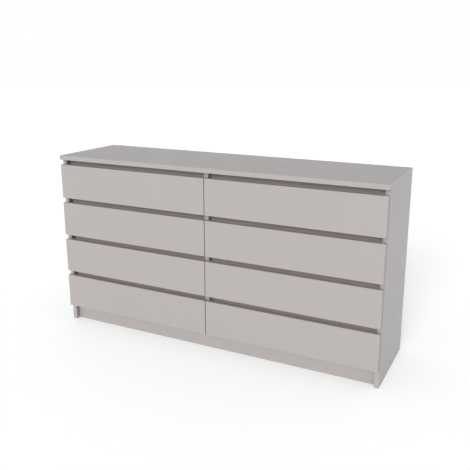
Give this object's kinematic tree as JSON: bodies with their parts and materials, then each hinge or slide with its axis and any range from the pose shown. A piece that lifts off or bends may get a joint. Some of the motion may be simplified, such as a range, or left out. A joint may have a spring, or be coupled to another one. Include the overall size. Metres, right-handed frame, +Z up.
{
  "type": "chest of drawers",
  "caption": "Low wide chest of drawers with two columns of plain overlay fronts opened by finger gaps, on a recessed plinth.",
  "frame": {"origin": "middle of the footprint, on the floor", "axes": "+X along the front to the right, +Y from the fronts to the back, +Z up"},
  "size_m": [1.4, 0.372, 0.75],
  "materials": {
    "facing": "warm light grey matt facing on chipboard",
    "drawer_foil": "pale grey paper foil on chipboard",
    "hardboard": "painted hardboard sheet",
    "runner_plastic": "moulded white nylon strip",
    "fixings": "zinc plated steel and die-cast zinc"
  },
  "bodies": {
    "carcass": {"back_panel_left": "hardboard", "back_panel_right": "hardboard", "base_panel": "facing", "carcass_fixings": "fixings", "centre_partition": "facing", "cross_rails": "facing", "drawer_runners": "runner_plastic", "left_side_panel": "facing", "plinth_board": "facing", "plinth_support": "facing", "right_side_panel": "facing", "top_panel": "facing"},
    "drawer_left_1": {"drawer_left_1_back": "drawer_foil", "drawer_left_1_bottom": "hardboard", "drawer_left_1_fixings": "fixings", "drawer_left_1_front": "facing", "drawer_left_1_left_side": "drawer_foil", "drawer_left_1_right_side": "drawer_foil"},
    "drawer_left_2": {"drawer_left_2_back": "drawer_foil", "drawer_left_2_bottom": "hardboard", "drawer_left_2_fixings": "fixings", "drawer_left_2_front": "facing", "drawer_left_2_left_side": "drawer_foil", "drawer_left_2_right_side": "drawer_foil"},
    "drawer_left_3": {"drawer_left_3_back": "drawer_foil", "drawer_left_3_bottom": "hardboard", "drawer_left_3_fixings": "fixings", "drawer_left_3_front": "facing", "drawer_left_3_left_side": "drawer_foil", "drawer_left_3_right_side": "drawer_foil"},
    "drawer_left_4": {"drawer_left_4_back": "drawer_foil", "drawer_left_4_bottom": "hardboard", "drawer_left_4_fixings": "fixings", "drawer_left_4_front": "facing", "drawer_left_4_left_side": "drawer_foil", "drawer_left_4_right_side": "drawer_foil"},
    "drawer_right_1": {"drawer_right_1_back": "drawer_foil", "drawer_right_1_bottom": "hardboard", "drawer_right_1_fixings": "fixings", "drawer_right_1_front": "facing", "drawer_right_1_left_side": "drawer_foil", "drawer_right_1_right_side": "drawer_foil"},
    "drawer_right_2": {"drawer_right_2_back": "drawer_foil", "drawer_right_2_bottom": "hardboard", "drawer_right_2_fixings": "fixings", "drawer_right_2_front": "facing", "drawer_right_2_left_side": "drawer_foil", "drawer_right_2_right_side": "drawer_foil"},
    "drawer_right_3": {"drawer_right_3_back": "drawer_foil", "drawer_right_3_bottom": "hardboard", "drawer_right_3_fixings": "fixings", "drawer_right_3_front": "facing", "drawer_right_3_left_side": "drawer_foil", "drawer_right_3_right_side": "drawer_foil"},
    "drawer_right_4": {"drawer_right_4_back": "drawer_foil", "drawer_right_4_bottom": "hardboard", "drawer_right_4_fixings": "fixings", "drawer_right_4_front": "facing", "drawer_right_4_left_side": "drawer_foil", "drawer_right_4_right_side": "drawer_foil"}
  },
  "joints": [
    {"name": "drawer_left_1_slide", "type": "slide", "parent": "carcass", "child": "drawer_left_1", "axis": [0, -1, 0], "range_m": [0, 0.26]},
    {"name": "drawer_left_2_slide", "type": "slide", "parent": "carcass", "child": "drawer_left_2", "axis": [0, -1, 0], "range_m": [0, 0.26]},
    {"name": "drawer_left_3_slide", "type": "slide", "parent": "carcass", "child": "drawer_left_3", "axis": [0, -1, 0], "range_m": [0, 0.26]},
    {"name": "drawer_left_4_slide", "type": "slide", "parent": "carcass", "child": "drawer_left_4", "axis": [0, -1, 0], "range_m": [0, 0.26]},
    {"name": "drawer_right_1_slide", "type": "slide", "parent": "carcass", "child": "drawer_right_1", "axis": [0, -1, 0], "range_m": [0, 0.26]},
    {"name": "drawer_right_2_slide", "type": "slide", "parent": "carcass", "child": "drawer_right_2", "axis": [0, -1, 0], "range_m": [0, 0.26]},
    {"name": "drawer_right_3_slide", "type": "slide", "parent": "carcass", "child": "drawer_right_3", "axis": [0, -1, 0], "range_m": [0, 0.26]},
    {"name": "drawer_right_4_slide", "type": "slide", "parent": "carcass", "child": "drawer_right_4", "axis": [0, -1, 0], "range_m": [0, 0.26]}
  ]
}
